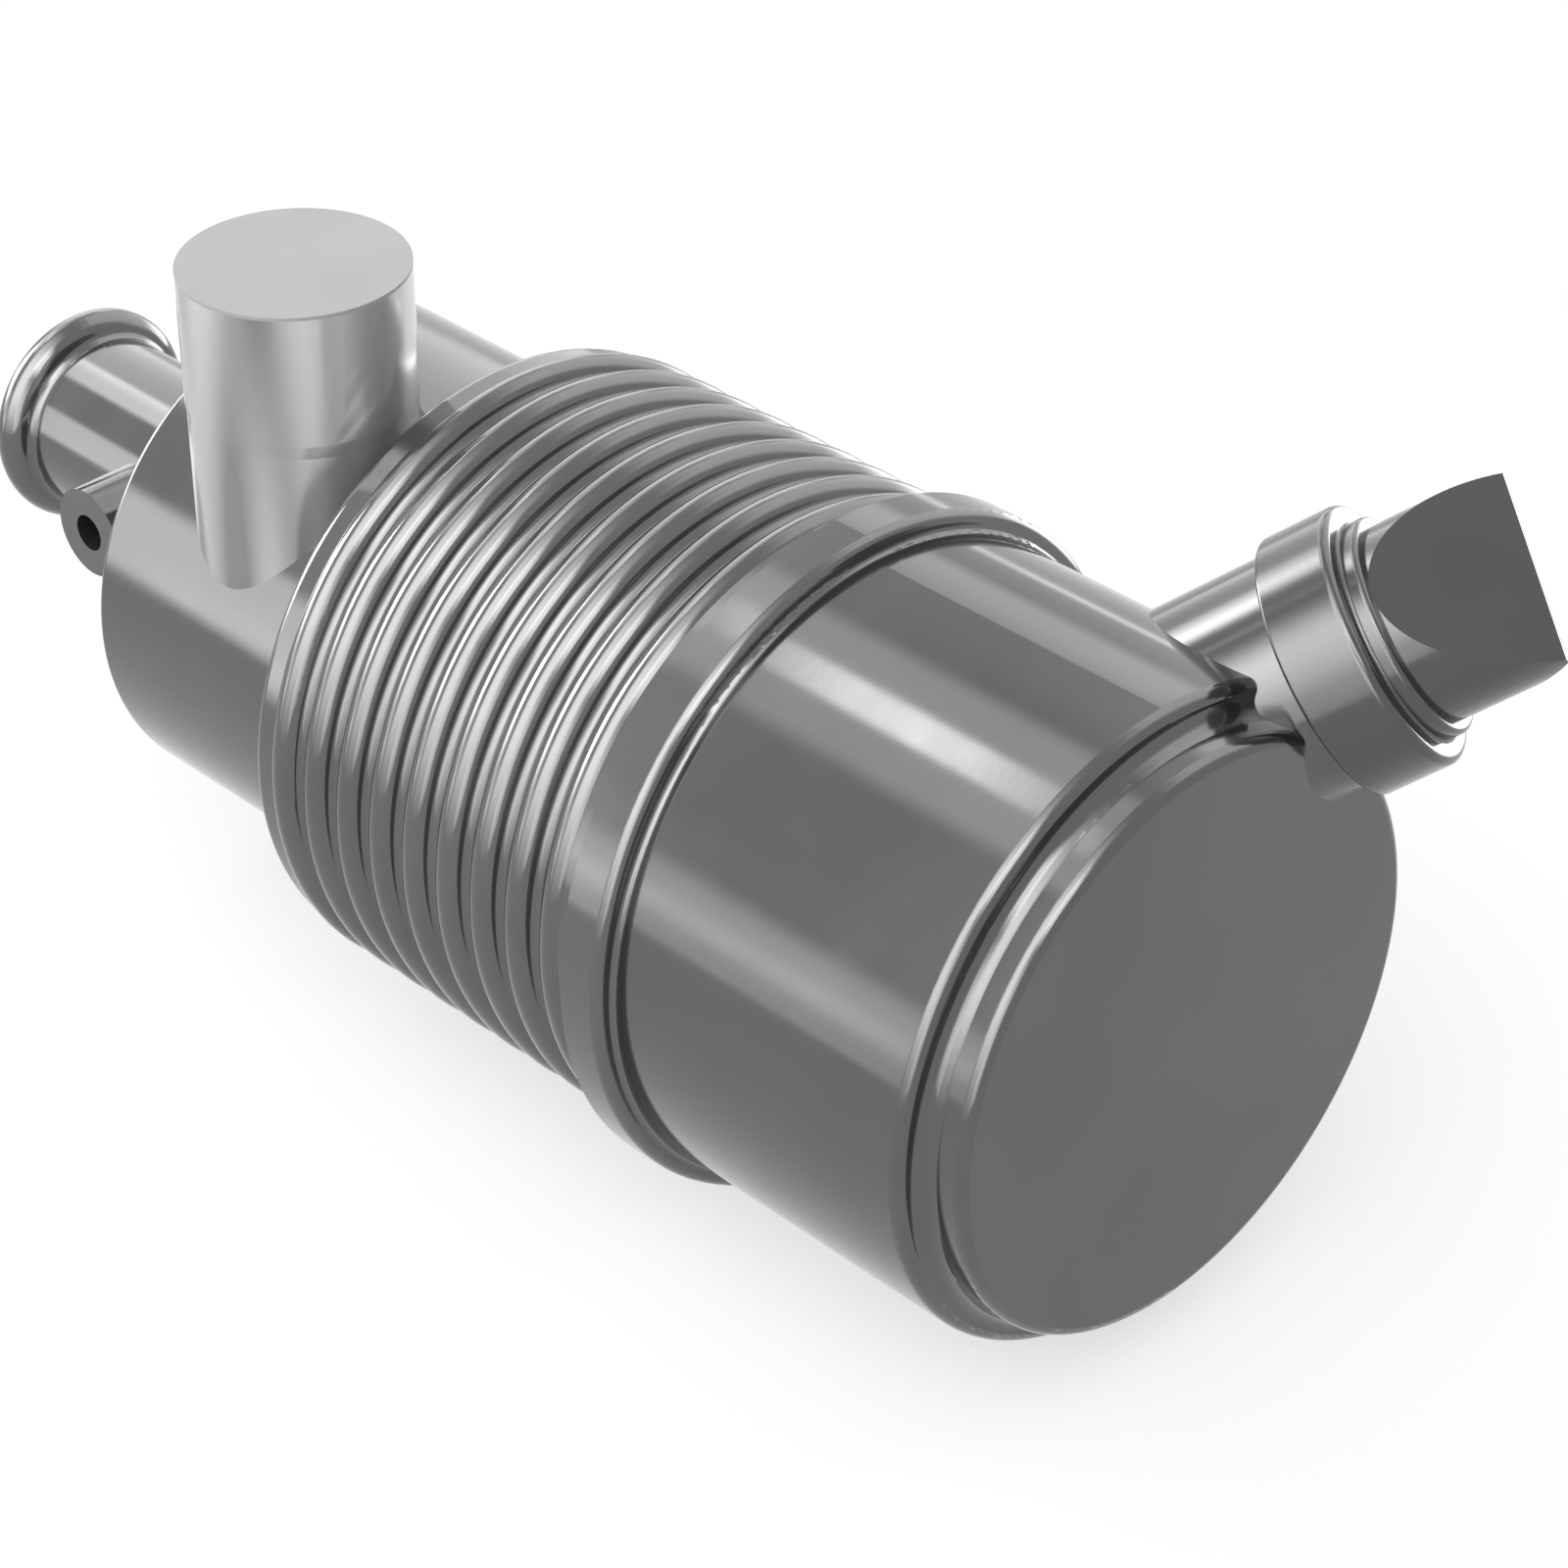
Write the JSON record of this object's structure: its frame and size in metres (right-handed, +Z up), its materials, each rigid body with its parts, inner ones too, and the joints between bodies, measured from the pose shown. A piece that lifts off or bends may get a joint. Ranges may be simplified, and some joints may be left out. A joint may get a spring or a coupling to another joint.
{
  "type": "air filter assembly",
  "caption": "Round engine air filter assembly with a ribbed housing, side inlet tube, beaded outlet tube, and a leaning dust neck with a duckbill valve on its cover.",
  "frame": {"origin": "on the main axis of the housing, at the middle rib, which is the middle of the band that holds it", "axes": "+X along the main axis from the outlet tube to the cover, +Z up along the inlet tube, +Y to the side where the dust neck leans"},
  "size_m": [0.3955, 0.1616, 0.174],
  "materials": {
    "housing_metal": "gloss",
    "inlet_metal": "satin",
    "cover_metal": "gloss",
    "ring_metal": "gloss",
    "valve_rubber": "satin",
    "cap_plastic": "satin",
    "seal_rubber": "matte",
    "inner_steel": "satin",
    "fastener_steel": "zinc plated",
    "element_steel": "galvanised",
    "filter_paper": "matte",
    "filter_felt": "matte"
  },
  "bodies": {
    "root": {"body_shell": "housing_metal", "rear_head": "housing_metal", "inlet_tube": "inlet_metal", "outlet_tube": "housing_metal", "tap_boss": "housing_metal", "cover": "cover_metal", "dust_neck": "cover_metal", "retaining_ring": "ring_metal", "dust_valve": "valve_rubber", "inlet_cap": "cap_plastic", "cover_seal": "seal_rubber", "main_gasket": "seal_rubber", "safety_gasket": "seal_rubber", "element_seat": "inner_steel", "stud_yoke": "inner_steel", "dust_baffle": "inner_steel", "centre_stud": "fastener_steel", "main_washer": "fastener_steel", "main_wing_nut": "fastener_steel", "safety_nut": "fastener_steel", "main_rear_cap": "element_steel", "main_front_cap": "element_steel", "main_outer_liner": "element_steel", "main_inner_liner": "element_steel", "safety_rear_cap": "element_steel", "safety_front_cap": "element_steel", "main_pleats": "filter_paper", "safety_media": "filter_felt"}
  },
  "joints": []
}
